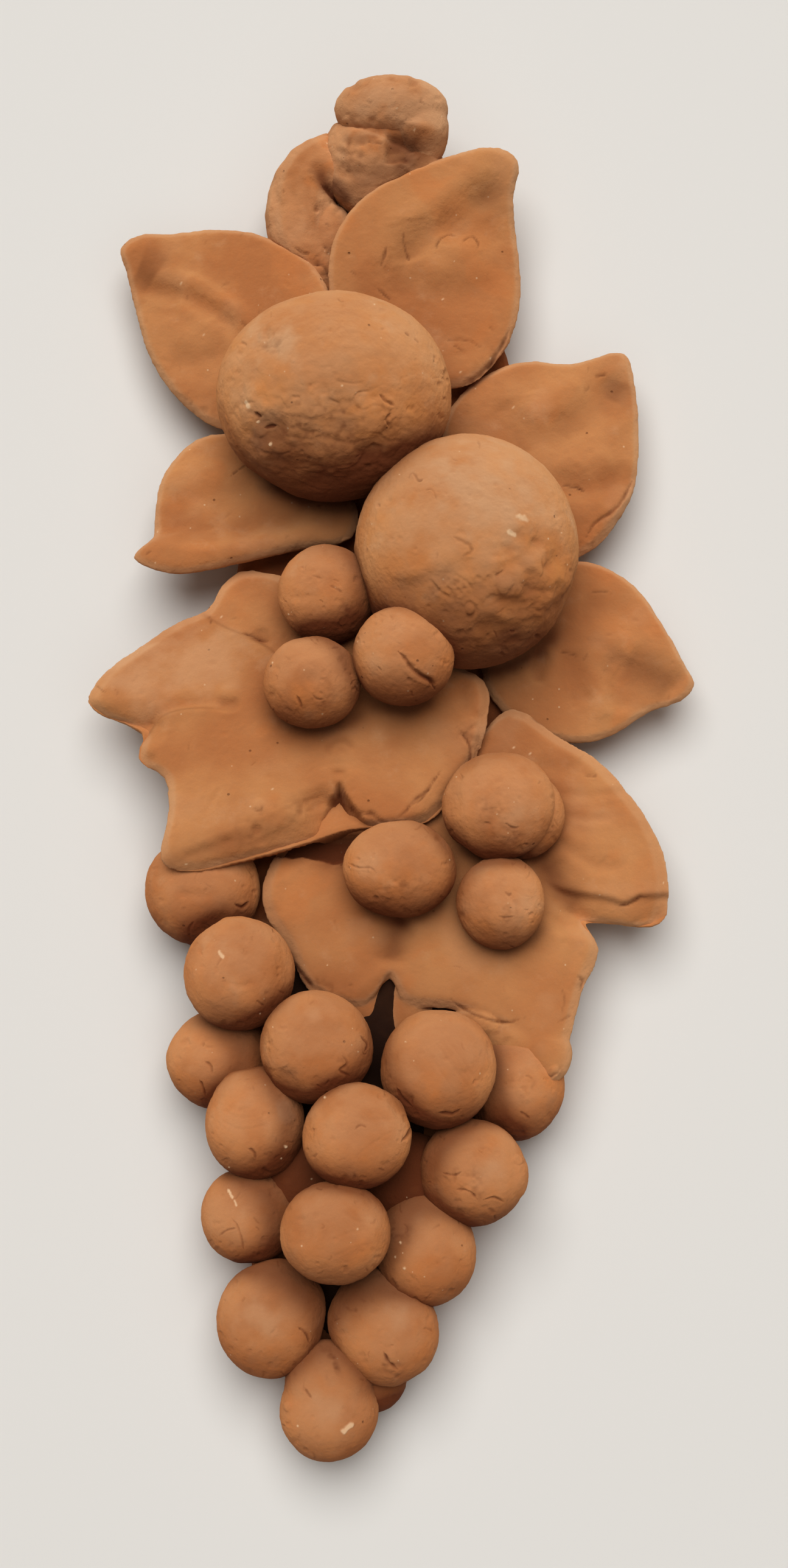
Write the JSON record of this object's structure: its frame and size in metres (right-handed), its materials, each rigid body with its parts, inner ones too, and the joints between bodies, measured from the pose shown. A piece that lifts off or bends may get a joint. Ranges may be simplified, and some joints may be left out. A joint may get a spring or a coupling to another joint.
{
  "type": "fired clay wall swag",
  "caption": "Hand-modelled fired clay wall swag: a twisted stem, plain and vine leaves, round fruits, berries and a tapering bunch of grapes on a flat back.",
  "frame": {"origin": "on the flat back of the slab, near the middle of the swag", "axes": "+Z off the flat back towards the viewer, +Y along the swag towards the stem, which is up when it hangs, +X to the viewer's right"},
  "size_m": [0.1501, 0.3413, 0.062],
  "materials": {
    "leaf_clay": "matte, smoothed with a wet finger",
    "fruit_clay": "matte, rolled, slightly dusty and cracked",
    "berry_clay": "matte, rolled between the palms",
    "stem_clay": "matte, rolled and wrinkled at the bend",
    "back_clay": "matte, rough and pressed flat"
  },
  "bodies": {
    "root": {"back_slab": "back_clay", "cluster_core": "back_clay", "stem_cap": "stem_clay", "stem_branch": "stem_clay", "stem_hook": "stem_clay", "leaf_top_right": "leaf_clay", "leaf_top_left": "leaf_clay", "leaf_mid_right": "leaf_clay", "leaf_mid_left": "leaf_clay", "leaf_low_right": "leaf_clay", "vine_leaf_left": "leaf_clay", "vine_leaf_right": "leaf_clay", "fruit_upper": "fruit_clay", "fruit_lower": "fruit_clay", "berry_upper_1": "berry_clay", "berry_upper_2": "berry_clay", "berry_upper_3": "berry_clay", "berry_lower_1": "berry_clay", "berry_lower_2": "berry_clay", "berry_lower_3": "berry_clay", "berry_lower_4": "berry_clay", "grape_01": "berry_clay", "grape_02": "berry_clay", "grape_03": "berry_clay", "grape_04": "berry_clay", "grape_05": "berry_clay", "grape_06": "berry_clay", "grape_07": "berry_clay", "grape_08": "berry_clay", "grape_09": "berry_clay", "grape_10": "berry_clay", "grape_11": "berry_clay", "grape_12": "berry_clay", "grape_13": "berry_clay", "grape_14": "berry_clay", "grape_15": "berry_clay", "grape_16": "berry_clay", "grape_17": "berry_clay", "grape_18": "berry_clay"}
  },
  "joints": []
}
